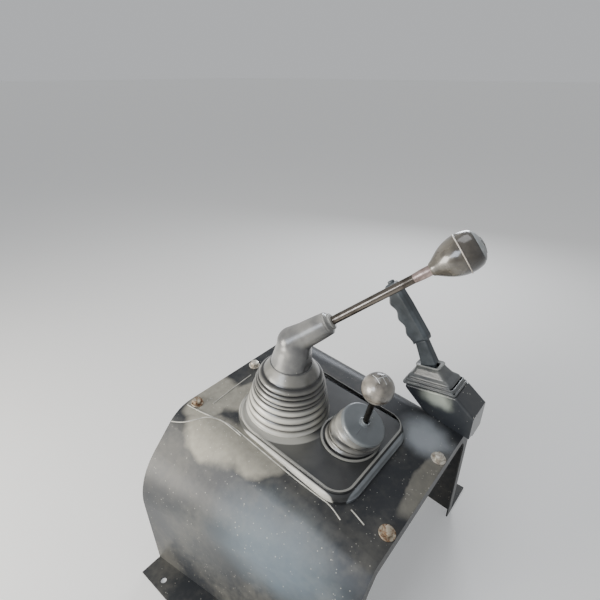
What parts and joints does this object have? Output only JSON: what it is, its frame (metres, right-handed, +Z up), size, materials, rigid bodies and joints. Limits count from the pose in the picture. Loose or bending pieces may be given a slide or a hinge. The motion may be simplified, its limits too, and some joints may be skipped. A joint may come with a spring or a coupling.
{
  "type": "transmission tunnel with gear, transfer and handbrake levers of an off-road SUV",
  "caption": "Black transmission tunnel cover of an off-road SUV with a gear lever in a large rubber bellows, a transfer lever and a handbrake.",
  "frame": {"origin": "middle of the four floor flange bolts, at the flanges' underside", "axes": "+X to the vehicle's right, +Y towards its front, +Z up"},
  "size_m": [0.472, 0.335, 0.5311],
  "materials": {
    "black_paint": "satin",
    "black_rubber_moulding": "satin",
    "black_rubber": "satin",
    "worn_steel": "satin",
    "dark_plastic": "satin",
    "grey_plastic": "satin",
    "cast_alloy": "matte",
    "zinc_steel": "satin",
    "rusty_zinc": "matte"
  },
  "bodies": {
    "tunnel": {"front_bolt_left": "rusty_zinc", "front_bolt_mid": "rusty_zinc", "front_bolt_right": "rusty_zinc", "gear_gaiter": "black_rubber", "handbrake_bracket": "zinc_steel", "handbrake_console": "black_paint", "handbrake_gaiter": "black_rubber", "handbrake_pivot": "zinc_steel", "lever_housing": "cast_alloy", "lever_plate": "black_rubber_moulding", "rear_bolt_left": "rusty_zinc", "rear_bolt_right": "rusty_zinc", "transfer_gaiter": "black_rubber", "tunnel_cover": "black_paint"},
    "gear_gate": {"gear_gate": "worn_steel", "gear_cross_pin": "worn_steel"},
    "gear_lever": {"gear_rod": "worn_steel", "gear_sleeve": "black_rubber", "gear_knob": "dark_plastic", "gear_knob_cap": "grey_plastic"},
    "transfer_gate": {"transfer_gate": "worn_steel", "transfer_cross_pin": "worn_steel"},
    "transfer_lever": {"transfer_rod": "worn_steel", "transfer_cap": "black_rubber", "transfer_knob": "dark_plastic"},
    "handbrake": {"handbrake_lever": "black_paint", "handbrake_grip": "dark_plastic", "handbrake_button": "dark_plastic"}
  },
  "joints": [
    {"name": "gear_side_to_side", "type": "hinge", "parent": "tunnel", "child": "gear_gate", "pos_m": [-0.012, 0.05713, 0.19534], "axis": [0, 0.9938, 0.1115], "range_deg": [-8, 6], "deforming": ["gear_gaiter"]},
    {"name": "gear_fore_and_aft", "type": "hinge", "parent": "gear_gate", "child": "gear_lever", "pos_m": [-0.012, 0.05713, 0.19534], "axis": [1, 0, 0], "range_deg": [-9, 9]},
    {"name": "transfer_side_to_side", "type": "hinge", "parent": "tunnel", "child": "transfer_gate", "pos_m": [0.008, -0.04548, 0.21302], "axis": [0, 0.9938, 0.1115], "range_deg": [-8, 0], "deforming": ["transfer_gaiter"]},
    {"name": "transfer_fore_and_aft", "type": "hinge", "parent": "transfer_gate", "child": "transfer_lever", "pos_m": [0.008, -0.04548, 0.21302], "axis": [1, 0, 0], "range_deg": [-14, 0]},
    {"name": "handbrake_pull", "type": "hinge", "parent": "tunnel", "child": "handbrake", "pos_m": [0.163, -0.1206, 0.2345], "axis": [1, 0, 0], "range_deg": [-28, 5], "deforming": ["handbrake_gaiter"]}
  ]
}
